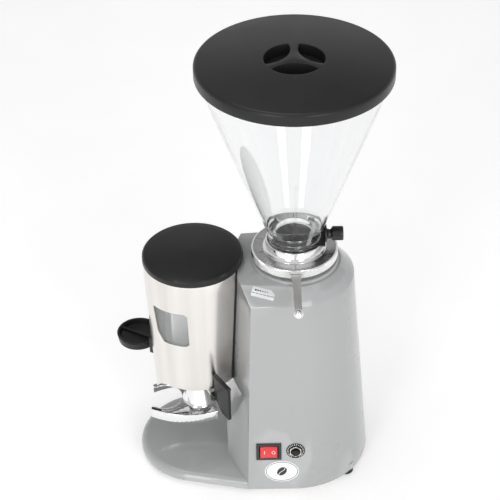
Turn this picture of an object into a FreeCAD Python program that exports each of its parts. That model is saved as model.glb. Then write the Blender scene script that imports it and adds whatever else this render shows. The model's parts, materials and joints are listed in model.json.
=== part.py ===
import FreeCAD, Part
import math
import os
import re

# Doser coffee grinder.  Millimetres, +Z up, origin on the burr axis at the standing plane.
# The doser is at the front (-Y) and the switch is on the user's right (+X).

V = FreeCAD.Vector
UP = V(0, 0, 1)
RIGHT = V(1, 0, 0)
BACK = V(0, 1, 0)

SIZES = {
    # casting
    "foot_height": 8, "body_base_radius": 96, "body_top_radius": 73.5, "body_top_z": 292.4,
    "shoulder_top_z": 311, "shoulder_neck_radius": 57, "body_wall": 5, "corner_share": 0.65,
    "corner_top_share": 0.737, "nose_half_width": 31, "nose_top_y": 70.6, "nose_bottom_y": 78.6,
    "nose_bottom_z": 141, "nose_wall": 6, "block_half_width": 42, "block_front_y": 88.5,
    "block_front_z": 74, "block_top_z": 170, "block_slope": 3.0, "neck_ring_radius": 54,
    "neck_ring_height": 4, "shoulder_corner_x": 52, "shoulder_corner_y": 66, "shoulder_half": 40, "platform_radius": 80.7, "platform_y": 124.5, "platform_top_z": 19,
    "platform_edge_fillet": 9, "corner_fillet": 3, "deck_z": 238, "deck_thick": 9,
    "cavity_top_gap": 12, "chamber_radius": 46, "chute_half_width": 15, "chute_z": 254,
    "chute_height": 24,
    # feet and bottom cover
    "foot_radius": 10, "foot_inset": 9.44, "foot_angle": 49.7, "foot_front_y": 172, "foot_front_x": 44,
    "foot_screw_radius": 2.5, "cover_thick": 2, "cover_inset": 4,
    # motor
    "shaft_radius": 7, "shaft_bottom_z": 46, "stator_radius": 50, "stator_z": 108,
    "stator_height": 66, "stator_bore": 26, "air_gap": 0.8, "winding_radius": 41,
    "winding_height": 15, "bracket_thick": 7, "bracket_low_z": 54, "bracket_high_z": 196,
    "rod_radius": 3, "rod_pitch": 45.5, "bearing_radius": 16, "bearing_height": 10,
    "fan_radius": 40, "fan_height": 12, "fan_z": 74, "fan_blades": 9,
    "capacitor_radius": 15, "capacitor_length": 62, "capacitor_y": 42,
    # burrs
    "burr_radius": 32, "burr_inner": 19, "burr_height": 7, "burr_gap": 0.8, "carrier_radius": 35,
    "carrier_z": 256, "carrier_height": 9, "burr_teeth": 18, "upper_carrier_radius": 45.5,
    "burr_screws": 3, "burr_screw_pitch": 26,
    # dial, collar and lever
    "dial_radius": 52.9, "dial_bottom_z": 319, "dial_top_z": 330.8, "dial_bevel": 1.6,
    "knurl_count": 120, "knurl_depth": 0.7, "collar_radius": 35, "collar_top_z": 343,
    "collar_flare": 4, "throat_bore": 26, "dial_spigot": 30, "lever_reach": 116,
    "lever_width": 10.4, "lever_end_width": 8.6, "lever_thick": 3.2, "lever_drop": 7,
    "lever_turn": 0.9, "lever_ball_radius": 6,
    # hopper
    "hopper_radius": 110, "hopper_top_z": 572, "hopper_cone_radius": 37, "hopper_cone_z": 364,
    "hopper_wall": 3, "neck_radius": 32.6, "neck_bottom_z": 323, "throat_radius": 23,
    "gate_z": 346, "gate_thick": 2, "gate_half_width": 24.5, "gate_travel": 46,
    "gate_knob_radius": 9.5, "gate_knob_waist": 6, "gate_knob_base": 12.5,
    "gate_knob_grip": 12, "gate_knob_end_y": 51,
    "lid_radius": 113.3, "lid_top_z": 586, "lid_skirt": 14.5, "lid_crown": 4, "lid_thick": 3,
    "lid_fillet": 4, "pocket_length": 52, "pocket_width": 25, "pocket_depth": 10,
    "pocket_pitch": 22.5,
    # doser
    "doser_y": 124.42, "doser_top_radius": 61.8, "doser_low_radius": 54.6, "doser_top_z": 314.9,
    "doser_low_z": 113, "doser_wall": 1.5, "doser_rim_z": 145, "doser_floor_z": 152,
    "doser_floor_thick": 4, "doser_lid_radius": 61.6, "doser_lid_skirt": 7.8, "doser_lid_crown": 1.5, "doser_lid_plug": 46,
    "outlet_radius": 12, "outlet_pitch": 27, "star_radius": 40, "star_height": 104,
    "star_vanes": 6, "star_hub": 9, "star_vane_thick": 2, "gasket_thick": 2.5,
    "back_plate_thick": 3, "rim_drop_y": 53.5, "rim_rise_y": 15,
    "window_low_angle": 34.7, "window_high_angle": 83.8, "window_low_z": 218,
    "window_high_z": 272, "window_thick": 2, "window_slant": 12,
    # doser lever
    "paddle_x": 54, "paddle_y": 23.5, "paddle_angle": 33, "paddle_length": 33,
    "paddle_height": 53, "paddle_z": 118.5, "paddle_thick": 4, "arm_z": 128, "arm_height": 9,
    "arm_width": 8, "axle_radius": 4, "knob_radius": 9, "knob_height": 14,
    # fork
    "fork_z": 82, "fork_thick": 3, "fork_tip_x": 24, "fork_tip_y": 187, "fork_bow_x": 36.5,
    "fork_bow_y": 145, "fork_root_x": 30, "fork_root_y": 100, "fork_open_radius": 22,
    "fork_open_y": 170, "fork_mouth": 19, "fork_rim_height": 14, "fork_rim_wall": 2,
    "bracket_base_radius": 23, "bracket_radius": 13.2, "bracket_neck_z": 112,
    # tamper
    "tamper_radius": 27.5, "tamper_x": 43, "tamper_y": 203, "tamper_z": 161.5,
    "tamper_height": 10, "tamper_wall": 2.2, "tamper_floor": 3,
    # controls on the right side
    "switch_y": 34.9, "switch_z": 71.2, "switch_length": 32, "switch_width": 26.4,
    "switch_bezel": 2, "rocker_length": 22, "rocker_width": 18, "rocker_tilt": 12,
    "breaker_y": 0.8, "breaker_z": 71.5, "breaker_radius": 12, "breaker_nut_radius": 8.2,
    "breaker_button_radius": 4.4, "sticker_y": 18.4, "sticker_z": 37.8, "sticker_length": 44,
    "sticker_width": 34, "sticker_thick": 0.4, "rating_length": 28, "rating_width": 12,
    "rating_y": 39, "rating_share": 0.66, "rating_turn": 14.7,
    "gland_y": 22, "gland_z": 40, "gland_radius": 8, "gland_bore": 4, "gland_flange": 3, "gland_out": 4,
    "gland_in": 11,
    # fits
    "running_gap": 0.05, "free_gap": 0.4, "rest_gap": 0.3,
}

doc = FreeCAD.newDocument("DoserGrinder")
sheet = doc.addObject("Spreadsheet::Sheet", "Sizes")
for row, (alias, size) in enumerate(SIZES.items(), 1):
    sheet.set(f"A{row}", alias)
    sheet.set(f"B{row}", str(size))
    sheet.setAlias(f"B{row}", alias)
doc.recompute()


def cell(alias):
    """Value of one cell of the sheet."""
    return float(sheet.get(alias))


def expr(text):
    """Expression with each alias written as a reference into the sheet."""
    return re.sub(r"[a-z]+(?:_[a-z]+)+", lambda word: "Sizes." + word.group(0), text)


def worth(text):
    """Number that an expression over the aliases has now."""
    total = doc.getObject("Scratch")
    if total is None:
        total = doc.addObject("App::FeaturePython", "Scratch")
        total.addProperty("App::PropertyFloat", "Number")
    total.setExpression("Number", expr(text))
    total.recompute()
    return total.Number


nodes = []


def node(item, label):
    """Name an object and list it as a piece of the grinder."""
    item.Label = label
    nodes.append(item)
    return item


def place(item, x="0", y="0", z="0", axis=None, angle="0"):
    """Bind an object's placement to the sheet."""
    if axis is not None:
        item.Placement = FreeCAD.Placement(V(), FreeCAD.Rotation(axis, 90))
        item.setExpression("Placement.Rotation.Angle", expr(angle))
    for letter, text in zip("xyz", (x, y, z)):
        item.setExpression(f"Placement.Base.{letter}", expr(text))
    return item


def cylinder(radius, height, x="0", y="0", z="0", axis=None, angle="90"):
    item = doc.addObject("Part::Cylinder", "Cylinder")
    item.setExpression("Radius", expr(radius))
    item.setExpression("Height", expr(height))
    return place(item, x, y, z, axis, angle)


def cone(low, high, height, x="0", y="0", z="0"):
    item = doc.addObject("Part::Cone", "Cone")
    item.setExpression("Radius1", expr(low))
    item.setExpression("Radius2", expr(high))
    item.setExpression("Height", expr(height))
    return place(item, x, y, z)


def block(length, width, height, x="0", y="0", z="0", axis=None, angle="0"):
    item = doc.addObject("Part::Box", "Box")
    item.setExpression("Length", expr(length))
    item.setExpression("Width", expr(width))
    item.setExpression("Height", expr(height))
    return place(item, x, y, z, axis, angle)


def ball(radius, x="0", y="0", z="0"):
    item = doc.addObject("Part::Sphere", "Sphere")
    item.setExpression("Radius", expr(radius))
    return place(item, x, y, z)


def cut(base, *tools):
    for tool in tools:
        item = doc.addObject("Part::Cut", "Cut")
        item.Base = base
        item.Tool = tool
        base = item
    return base


def fuse(*parts):
    item = doc.addObject("Part::MultiFuse", "Fuse")
    item.Shapes = list(parts)
    item.Refine = True
    return item


def common(base, tool):
    item = doc.addObject("Part::Common", "Common")
    item.Base = base
    item.Tool = tool
    return item


def feature(shape, placement=None):
    """A piece whose shape comes from Part's own functions."""
    item = doc.addObject("Part::Feature", "Shape")
    item.Shape = shape
    if placement is not None:
        item.Placement = placement
    return item


def sketch_on(body, plane, points):
    """Closed sketch of straight lines, each corner dimensioned from the sheet."""
    sketch = body.newObject("Sketcher::SketchObject", "Sketch")
    base = [f for f in body.Origin.OriginFeatures if f.Role == plane][0]
    sketch.AttachmentSupport = [(base, "")]
    sketch.MapMode = "FlatFace"
    import Sketcher
    corners = [V(worth(a), worth(b), 0) for a, b in points]
    for start, end in zip(corners, corners[1:] + corners[:1]):
        sketch.addGeometry(Part.LineSegment(start, end), False)
    count = len(points)
    for index in range(count):
        sketch.addConstraint(Sketcher.Constraint("Coincident", index, 2, (index + 1) % count, 1))
    for index, pair in enumerate(points):
        for kind, text, line in (("DistanceX", pair[0], -2), ("DistanceY", pair[1], -1)):
            if text == "0":
                sketch.addConstraint(Sketcher.Constraint("PointOnObject", index, 1, line))
                continue
            number = sketch.addConstraint(Sketcher.Constraint(kind, -1, 1, index, 1, worth(text)))
            sketch.setExpression(f"Constraints[{number}]", expr(text))
    return sketch


def turned(points, x="0", y="0"):
    """Body of revolution about +Z from (radius, height) corners."""
    body = doc.addObject("PartDesign::Body", "Turned")
    sketch = sketch_on(body, "XZ_Plane", points)
    turn = body.newObject("PartDesign::Revolution", "Revolution")
    turn.Profile = sketch
    turn.ReferenceAxis = (sketch, ["V_Axis"])
    turn.Angle = 360
    body.Tip = turn
    return place(body, x, y)


def padded(points, height, x="0", y="0", z="0"):
    """Body padded upward from a sketch on the horizontal plane."""
    body = doc.addObject("PartDesign::Body", "Padded")
    sketch = sketch_on(body, "XY_Plane", points)
    pad = body.newObject("PartDesign::Pad", "Pad")
    pad.Profile = sketch
    pad.setExpression("Length", expr(height))
    body.Tip = pad
    return place(body, x, y, z)


def polygon(points):
    return Part.makePolygon(list(points) + [points[0]])


def ring_copies(shape, count, axis_point=V(), start=0.0):
    """Copies of a shape turned evenly about a vertical axis, as one compound."""
    copies = []
    for index in range(int(count)):
        copy = shape.copy()
        copy.rotate(axis_point, UP, start + 360.0 * index / count)
        copies.append(copy)
    return copies


# ---------------------------------------------------------------- casting

def body_radius(z):
    """Outer radius of the column at a height."""
    share = (z - cell("foot_height")) / (cell("body_top_z") - cell("foot_height"))
    return cell("body_base_radius") + share * (cell("body_top_radius") - cell("body_base_radius"))


def corner_y(z):
    """How far forward the column's front corners are at a height."""
    share = (z - cell("foot_height")) / (cell("body_top_z") - cell("foot_height"))
    low = cell("body_base_radius") * cell("corner_share")
    high = cell("body_top_radius") * cell("corner_top_share")
    return low + share * (high - low)


def column_wire(z, inset=0.0):
    radius = body_radius(z) - inset
    front = -(corner_y(z) - inset)
    arc = Part.Arc(V(radius, 0, z), V(0, radius, z), V(-radius, 0, z)).toShape()
    points = [V(-radius, 0, z), V(-radius, front, z), V(radius, front, z), V(radius, 0, z)]
    lines = [Part.makeLine(a, b) for a, b in zip(points, points[1:])]
    return Part.Wire([arc] + lines)


def column(z_low, z_high, inset=0.0):
    return Part.makeLoft([column_wire(z_low, inset), column_wire(z_high, inset)], True, True)


def nose_front(z):
    share = (z - cell("nose_bottom_z")) / (cell("body_top_z") - cell("nose_bottom_z"))
    return -(cell("nose_bottom_y") + share * (cell("nose_top_y") - cell("nose_bottom_y")))


def nose_wire(z, side, front, half):
    back = -cell("shaft_radius")
    return polygon([V(side, back, z), V(-side, back, z), V(-side, -corner_y(z), z),
                    V(-half, front, z), V(half, front, z), V(side, -corner_y(z), z)])


def shoulder():
    """Shoulder from the column's top edge up to the flat under the dial."""
    low, high = cell("body_top_z"), cell("shoulder_top_z")
    wires = []
    for z, radius, corner, half in (
            (low, body_radius(low), (body_radius(low), corner_y(low)), cell("nose_half_width")),
            (high, cell("shoulder_neck_radius"), (cell("shoulder_corner_x"), cell("shoulder_corner_y")),
             cell("shoulder_half"))):
        front = nose_front(z)
        arc = Part.Arc(V(radius, 0, z), V(0, radius, z), V(-radius, 0, z)).toShape()
        points = [V(-radius, 0, z), V(-corner[0], -corner[1], z), V(-half, front, z),
                  V(half, front, z), V(corner[0], -corner[1], z), V(radius, 0, z)]
        lines = [Part.makeLine(a, b) for a, b in zip(points, points[1:])]
        wires.append(Part.Wire([arc] + lines))
    return Part.makeLoft(wires, True, True)


def platform():
    """Flat foot in front: a round end with straight sides back to the column's corners."""
    z = cell("foot_height")
    side, corner = body_radius(z), corner_y(z)
    centre, radius = cell("platform_y"), cell("platform_radius")
    reach = math.hypot(side, centre - corner)
    turn = math.atan2(centre - corner, side) - math.acos(radius / reach)
    tangent = V(radius * math.cos(turn), -centre + radius * math.sin(turn), z)
    mirror = V(-tangent.x, tangent.y, z)
    arc = Part.Arc(tangent, V(0, -centre - radius, z), mirror).toShape()
    rear = [V(-side, -corner, z), V(side, -corner, z)]
    wire = Part.Wire([arc, Part.makeLine(mirror, rear[0]), Part.makeLine(rear[0], rear[1]),
                      Part.makeLine(rear[1], tangent)])
    slab = Part.Face(wire).extrude(V(0, 0, cell("platform_top_z") - z))
    rims = [edge for edge in slab.Edges
            if min(v.Z for v in edge.Vertexes) > z + 1 and min(v.Y for v in edge.Vertexes) < -corner - 1]
    return slab.makeFillet(min(cell("platform_edge_fillet"), cell("platform_top_z") - z - 1), rims)


def lower_block():
    """Leaning block that joins the column to the platform below the nose."""
    z = cell("foot_height")
    front, half = cell("block_front_y"), cell("block_half_width")
    side, corner = body_radius(z) - 1.2, corner_y(z)
    top = cell("block_top_z")
    upper_side, upper_corner = body_radius(top) - 0.6, corner_y(top)
    lows = [V(side, -corner, z), V(half, -front, z), V(-half, -front, z), V(-side, -corner, z),
            V(-side, -10, z), V(side, -10, z)]
    highs = [V(upper_side, -upper_corner, top), V(half, -front, top), V(-half, -front, top),
             V(-upper_side, -upper_corner, top), V(-upper_side, -10, top), V(upper_side, -10, top)]
    mass = Part.makeLoft([polygon(lows), polygon(highs)], True, True)
    low = cell("block_front_z")
    lean = cell("block_slope")
    far = 200
    wedge = polygon([V(-far, -front - 20, low - 20 * lean), V(-far, -front - 20, low + 2 * far),
                     V(-far, -front + far / lean, low + far)])
    return mass.cut(Part.Face(wedge).extrude(V(2 * far, 0, 0)))


def wall_frame(y, z):
    """Placement on the leaning right face: local Z points out of the face."""
    rise = cell("body_top_z") - cell("foot_height")
    lean = math.degrees(math.atan2(cell("body_base_radius") - cell("body_top_radius"), rise))
    return FreeCAD.Placement(V(body_radius(z), y, z), FreeCAD.Rotation(BACK, 90 - lean))


def left_frame(y, z):
    """Placement on the leaning left face: local Z points out of the face."""
    right = wall_frame(y, z)
    lean = math.degrees(right.Rotation.Angle)
    return FreeCAD.Placement(V(-right.Base.x, y, z), FreeCAD.Rotation(BACK, -lean))


def neck_ring():
    """Raised ring on the shoulder, just under the dial."""
    high = cell("neck_ring_height")
    base = Part.makeCylinder(cell("neck_ring_radius"), 2 * high, V(0, 0, cell("shoulder_top_z") - high))
    rim = [edge for edge in base.Edges if edge.Length > 1 and edge.BoundBox.ZMin > cell("shoulder_top_z") + 1
           and edge.BoundBox.ZLength < 0.01]
    return base.makeChamfer(1, rim)


def casting():
    base, top = cell("foot_height"), cell("body_top_z")
    wall = cell("body_wall")
    nose_low = cell("nose_bottom_z")
    half = cell("nose_half_width")
    nose = Part.makeLoft([nose_wire(nose_low, body_radius(nose_low) - 0.6, nose_front(nose_low), half),
                          nose_wire(top, body_radius(top) - 0.01, nose_front(top), half)], True, True)
    outer = column(base, top).fuse([nose, lower_block(), platform(), shoulder()])
    deck = cell("deck_z")
    cavity = column(base - 1, deck, wall)
    chamber_low = deck + cell("deck_thick")
    chamber = Part.makeCylinder(cell("chamber_radius"), cell("shoulder_top_z"), V(0, 0, chamber_low))
    bore = Part.makeCylinder(cell("bearing_radius"), cell("deck_thick") + 2, V(0, 0, deck - 1))
    chute = Part.makeBox(2 * cell("chute_half_width"), 200, cell("chute_height"),
                         V(-cell("chute_half_width"), -200, cell("chute_z")))
    nose_inside = Part.makeLoft([nose_wire(z, body_radius(z) - wall - 1, nose_front(z) + cell("nose_wall"),
                                           half - cell("nose_wall") / 2)
                                 for z in (nose_low + cell("nose_wall"), deck)], True, True)
    under = Part.makeLoft([polygon([V(x * (half_x - wall), y, z) for x, y in
                                    ((1, -10), (1, -corner), (-1, -corner), (-1, -10))])
                           for z, half_x, corner in
                           ((base - 1, cell("block_half_width"), cell("block_front_y") - wall),
                            (cell("block_front_z") - wall, cell("block_half_width"),
                             cell("block_front_y") - wall))], True, True)
    hollow = Part.makeCylinder(cell("platform_radius") - 3 * wall, cell("platform_top_z") - base - wall + 1,
                               V(0, -cell("platform_y"), base - 1))
    body = outer.cut([cavity, nose_inside, bore, chute, under, hollow])
    body = body.fuse(neck_ring()).cut(chamber)
    wide, long = cell("switch_width") - 4, cell("switch_length") - 4
    switch_port = Part.makeBox(wide, long, 40, V(-wide / 2, -long / 2, -30))
    switch_port.Placement = wall_frame(-cell("switch_y"), cell("switch_z"))
    breaker_port = Part.makeCylinder(cell("breaker_nut_radius") - 2 + cell("running_gap"), 40, V(0, 0, -30))
    breaker_port.Placement = wall_frame(-cell("breaker_y"), cell("breaker_z"))
    gland_port = Part.makeCylinder(cell("gland_radius"), 40, V(0, 0, -20))
    gland_port.Placement = left_frame(-cell("gland_y"), cell("gland_z"))
    ports = [switch_port, breaker_port, gland_port]
    body = body.cut(ports)
    bosses = []
    for x, y in foot_centres():
        boss = Part.makeCylinder(cell("foot_radius"), cell("platform_top_z") - base - 1, V(x, y, base))
        bosses.append(boss)
    body = body.fuse(bosses)
    holes = [Part.makeCylinder(cell("foot_screw_radius") + 0.1, cell("platform_top_z") - base - 3,
                               V(x, y, base - 1)) for x, y in foot_centres()]
    body = body.cut(holes)
    rod_holes = ring_copies(Part.makeCylinder(cell("rod_radius"), 6,
                                              V(cell("rod_pitch"), 0, deck - 1)), 4, V(), 45)
    return body.cut(rod_holes).removeSplitter()


def foot_centres():
    """Rear feet under the round wall, front feet under the platform's end."""
    reach = cell("body_base_radius") - cell("foot_inset")
    turn = math.radians(cell("foot_angle"))
    rear_x, rear_y = reach * math.cos(turn), reach * math.sin(turn)
    front_x, front_y = cell("foot_front_x"), -cell("foot_front_y")
    return [(rear_x, rear_y), (-rear_x, rear_y), (front_x, front_y), (-front_x, front_y)]


HOUSING = node(feature(casting()), "housing")

REAR_X = "(body_base_radius - foot_inset) * cos(foot_angle)"
REAR_Y = "(body_base_radius - foot_inset) * sin(foot_angle)"
for name, sign_x, foot_x, foot_y in (("foot_rear_right", "", REAR_X, REAR_Y),
                                     ("foot_rear_left", "-", REAR_X, REAR_Y),
                                     ("foot_front_right", "", "foot_front_x", "-foot_front_y"),
                                     ("foot_front_left", "-", "foot_front_x", "-foot_front_y")):
    pad = turned([("0", "2"), ("foot_screw_radius + 2", "2"), ("foot_screw_radius + 2", "0"),
                  ("foot_radius - 1.5", "0"), ("foot_radius", "1.5"),
                  ("foot_radius - 1", "foot_height - cover_thick"),
                  ("foot_screw_radius", "foot_height - cover_thick"),
                  ("foot_screw_radius", "platform_top_z - 6"), ("0", "platform_top_z - 6")],
                 sign_x + foot_x, foot_y)
    node(pad, name)


def bottom_cover():
    """Sheet that closes the casting from below, with a hole at each foot."""
    low = cell("foot_height") - cell("cover_thick")
    slab = Part.Face(column_wire(cell("foot_height"), cell("cover_inset")))
    slab.translate(V(0, 0, -cell("cover_thick")))
    plate = slab.extrude(V(0, 0, cell("cover_thick")))
    disc = Part.makeCylinder(cell("platform_radius") - cell("cover_inset") - 6, cell("cover_thick"),
                             V(0, -cell("platform_y"), low))
    plate = plate.fuse(disc).removeSplitter()
    holes = [Part.makeCylinder(cell("foot_screw_radius") + 0.1, 10, V(x, y, low - 4))
             for x, y in foot_centres()]
    return plate.cut(holes)


node(feature(bottom_cover()), "bottom_cover")


# ---------------------------------------------------------------- motor

def ring(inner, outer, height, z, x="0", y="0"):
    return cut(cylinder(outer, height, x, y, z), cylinder(inner, height, x, y, z))


node(ring("stator_bore", "stator_radius", "stator_height", "stator_z"), "motor_stator")
node(fuse(ring("stator_bore + 4", "winding_radius", "winding_height", "stator_z - winding_height"),
          ring("stator_bore + 4", "winding_radius", "winding_height", "stator_z + stator_height")),
     "motor_windings")
for label, low in (("motor_bracket_lower", "bracket_low_z"), ("motor_bracket_upper", "bracket_high_z")):
    node(ring("bearing_radius", "stator_radius", "bracket_thick", low), label)


def tie_rods():
    low, high = cell("bracket_low_z") - 4, cell("deck_z") + 5
    rod = Part.makeCylinder(cell("rod_radius"), high - low, V(cell("rod_pitch"), 0, low))
    return Part.makeCompound(ring_copies(rod, 4, V(), 45))


def drilled(item, label):
    """Drill the tie rod holes through a motor piece."""
    hole = Part.makeCylinder(cell("rod_radius"), 400, V(cell("rod_pitch"), 0, 0))
    holes = feature(Part.makeCompound(ring_copies(hole, 4, V(), 45)))
    item.Label = label + "_blank"
    nodes.remove(item)
    return node(cut(item, holes), label)


for item in [piece for piece in nodes if piece.Label in
             ("motor_stator", "motor_bracket_lower", "motor_bracket_upper")]:
    drilled(item, item.Label)
node(feature(tie_rods()), "motor_tie_rods")
node(ring("shaft_radius + running_gap", "bearing_radius", "bearing_height",
          "bracket_low_z + bracket_thick - bearing_height"), "motor_bearing_lower")
node(ring("shaft_radius + running_gap", "bearing_radius", "deck_thick", "deck_z"),
     "motor_bearing_upper")
node(cylinder("capacitor_radius", "capacitor_length", "-capacitor_length / 2", "capacitor_y",
              "foot_height + capacitor_radius", BACK), "start_capacitor")
node(cylinder("shaft_radius", "carrier_z - shaft_bottom_z", "0", "0", "shaft_bottom_z"),
     "motor_shaft")
node(ring("shaft_radius", "stator_bore - air_gap", "stator_height", "stator_z"), "rotor_core")


def fan():
    """Cooling fan: a hub, a disc and flat blades."""
    z, tall = cell("fan_z"), cell("fan_height")
    hub = Part.makeCylinder(cell("shaft_radius") + 5, tall, V(0, 0, z))
    disc = Part.makeCylinder(cell("fan_radius"), 2, V(0, 0, z))
    blade = Part.makeBox(cell("fan_radius") - cell("shaft_radius") - 4, 1.6, tall,
                         V(cell("shaft_radius") + 4, -0.8, z))
    whole = hub.fuse([disc] + ring_copies(blade, cell("fan_blades")))
    return whole.cut(Part.makeCylinder(cell("shaft_radius"), tall + 2, V(0, 0, z - 1)))


node(feature(fan()), "cooling_fan")


# ---------------------------------------------------------------- burrs

node(turned([("0", "carrier_z"), ("carrier_radius", "carrier_z"),
             ("carrier_radius", "carrier_z + carrier_height + burr_height - 2"),
             ("burr_radius + running_gap", "carrier_z + carrier_height + burr_height - 2"),
             ("burr_radius + running_gap", "carrier_z + carrier_height"), ("0", "carrier_z + carrier_height")]),
     "lower_burr_carrier")


def burr(z, facing):
    """Flat burr ring with slanted grinding grooves on one face."""
    inner, outer, tall = cell("burr_inner"), cell("burr_radius"), cell("burr_height")
    body = Part.makeCylinder(outer, tall, V(0, 0, z)).cut(
        Part.makeCylinder(inner, tall + 2, V(0, 0, z - 1)))
    face = z + tall if facing > 0 else z
    groove = Part.makeBox(outer, 1.6, 2.4, V(0, inner * 0.6, face - 1.2))
    body = body.cut(ring_copies(groove, cell("burr_teeth")))
    holes = ring_copies(Part.makeCylinder(2.2, tall + 2, V(cell("burr_screw_pitch"), 0, z - 1)),
                        cell("burr_screws"))
    return body.cut(holes)


def burr_screws(low, high):
    """Screws that hold a burr to its carrier."""
    pitch = cell("burr_screw_pitch")
    stem = Part.makeCylinder(2.2, high - low, V(pitch, 0, low))
    return Part.makeCompound(ring_copies(stem, cell("burr_screws")))


LOWER_BURR_Z = cell("carrier_z") + cell("carrier_height")
UPPER_BURR_Z = LOWER_BURR_Z + cell("burr_height") + cell("burr_gap")
node(feature(burr(LOWER_BURR_Z, 1)), "lower_burr")
node(feature(burr_screws(LOWER_BURR_Z, LOWER_BURR_Z + cell("burr_height") - 1.5)),
     "lower_burr_screws")
node(turned([("0", "carrier_z + carrier_height"), ("shaft_radius + 3", "carrier_z + carrier_height"),
             ("shaft_radius + 3", "carrier_z + carrier_height + 5"),
             ("shaft_radius - 1", "carrier_z + carrier_height + 11"),
             ("0", "carrier_z + carrier_height + 11")]), "feed_nut")
node(feature(burr(UPPER_BURR_Z, -1)), "upper_burr")
node(feature(burr_screws(UPPER_BURR_Z + 1.5, UPPER_BURR_Z + cell("burr_height"))),
     "upper_burr_screws")
UPPER = "carrier_z + carrier_height + burr_height * 2 + burr_gap"
node(turned([("burr_inner", UPPER), ("upper_carrier_radius", UPPER),
             ("upper_carrier_radius", "dial_bottom_z - rest_gap"),
             ("dial_spigot + running_gap", "dial_bottom_z - rest_gap"),
             ("dial_spigot + running_gap", UPPER + " + 8"),
             ("throat_bore - 3", UPPER + " + 8")]), "upper_burr_carrier")


# ---------------------------------------------------------------- dial, collar and lever

def dial():
    """Graduated ring with a knurled rim, and a spigot that turns in the upper carrier."""
    low, high, radius = cell("dial_bottom_z"), cell("dial_top_z"), cell("dial_radius")
    bevel = cell("dial_bevel")
    bore = cell("throat_bore")
    spigot_low = UPPER_BURR_Z + cell("burr_height") + 8 + cell("rest_gap")
    profile = [V(bore, 0, spigot_low), V(cell("dial_spigot"), 0, spigot_low),
               V(cell("dial_spigot"), 0, low), V(radius - 1, 0, low), V(radius, 0, low + 1),
               V(radius, 0, high - bevel), V(radius - bevel, 0, high),
               V(cell("neck_radius") + cell("rest_gap"), 0, high),
               V(cell("neck_radius") + cell("rest_gap"), 0, cell("neck_bottom_z") - cell("rest_gap")),
               V(bore, 0, cell("neck_bottom_z") - cell("rest_gap"))]
    body = Part.Face(polygon(profile)).revolve(V(), UP, 360)
    tooth = Part.makeBox(2 * cell("knurl_depth"), 0.8, high - low,
                         V(radius - cell("knurl_depth"), -0.4, low + 1))
    return body.cut(ring_copies(tooth, cell("knurl_count")))


node(feature(dial()), "adjust_dial")
node(turned([("neck_radius + rest_gap", "dial_top_z"), ("collar_radius + collar_flare", "dial_top_z"),
             ("collar_radius + 1", "dial_top_z + collar_flare - 2"),
             ("collar_radius", "dial_top_z + collar_flare"),
             ("collar_radius", "collar_top_z - 1"), ("collar_radius - 1", "collar_top_z"),
             ("neck_radius + rest_gap", "collar_top_z")]), "hopper_collar")


def lever_frame():
    """Placement of the lever and its ball, turned a little about the dial's axis."""
    return FreeCAD.Placement(V(0, 0, cell("dial_bottom_z") + 4), FreeCAD.Rotation(UP, cell("lever_turn")))


def lever_bar():
    """Flat bar that droops towards its ball, with a flared root."""
    start, ball_r = cell("dial_radius") - 1, cell("lever_ball_radius")
    wide, thin, thick = cell("lever_width"), cell("lever_end_width"), cell("lever_thick")
    drop = cell("lever_drop")
    end = cell("lever_reach") - ball_r / 2
    sections = ((start, wide * 0.72, 0), (start + 9, wide / 2, -0.6), (end, thin / 2, -drop))
    return Part.makeLoft([polygon([V(x, -half, z), V(x, half, z), V(x, half, z + thick),
                                   V(x, -half, z + thick)]) for x, half, z in sections], True, True)


def adjust_lever():
    bar = lever_bar()
    bar.Placement = lever_frame()
    rim = Part.makeCylinder(cell("dial_radius"), 40, V(0, 0, cell("dial_bottom_z") - 16))
    return bar.cut(rim)


def lever_ball():
    """Ball pressed on the bar's end."""
    middle = V(cell("lever_reach"), 0, cell("lever_thick") / 2 - cell("lever_drop"))
    round_end = Part.makeSphere(cell("lever_ball_radius"), middle).cut(lever_bar())
    round_end.Placement = lever_frame()
    return round_end


node(feature(adjust_lever()), "adjust_lever")
node(feature(lever_ball()), "lever_ball")


# ---------------------------------------------------------------- hopper, gate and lid

def hopper():
    """Clear cone with a neck, a throat plate and a slot for the gate."""
    wall, cone_r, cone_z = cell("hopper_wall"), cell("hopper_cone_radius"), cell("hopper_cone_z")
    top_r, top_z = cell("hopper_radius"), cell("hopper_top_z")
    rim_z = cell("lid_top_z") - cell("lid_thick") - cell("rest_gap") - 0.7
    neck, low = cell("neck_radius"), cell("neck_bottom_z")
    throat = cell("throat_radius")
    gate_low = cell("gate_z") - cell("rest_gap")
    gate_high = cell("gate_z") + cell("gate_thick") + cell("rest_gap")
    profile = [V(neck - wall, 0, low), V(neck, 0, low), V(neck, 0, cone_z - 8),
               V(cone_r, 0, cone_z), V(top_r, 0, top_z), V(top_r, 0, rim_z),
               V(top_r - wall, 0, rim_z), V(top_r - wall, 0, top_z), V(cone_r - wall, 0, cone_z),
               V(throat, 0, cone_z - 8), V(throat, 0, gate_high), V(neck - wall, 0, gate_high),
               V(neck - wall, 0, gate_low), V(throat, 0, gate_low), V(throat, 0, gate_low - 3),
               V(neck - wall, 0, gate_low - 3)]
    shell = Part.Face(polygon(profile)).revolve(V(), UP, 360)
    half = cell("gate_half_width") + cell("rest_gap")
    slot = Part.makeBox(2 * half, 60, gate_high - gate_low, V(-half, 0, gate_low))
    return shell.cut(slot)


node(feature(hopper()), "hopper")


def gate_plate():
    """Slide with a round end that closes the throat, and a tail out through the slot."""
    z, thick, half = cell("gate_z"), cell("gate_thick"), cell("gate_half_width")
    inner = cell("neck_radius") - cell("hopper_wall") - cell("rest_gap")
    tail = cell("neck_radius") + 4
    plate = Part.makeBox(2 * half, tail + half, thick, V(-half, -half, z))
    trim = Part.makeCylinder(inner, thick, V(0, 0, z))
    back = Part.makeBox(2 * half, tail, thick, V(-half, 0, z))
    return plate.common(trim.fuse(back))


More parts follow.
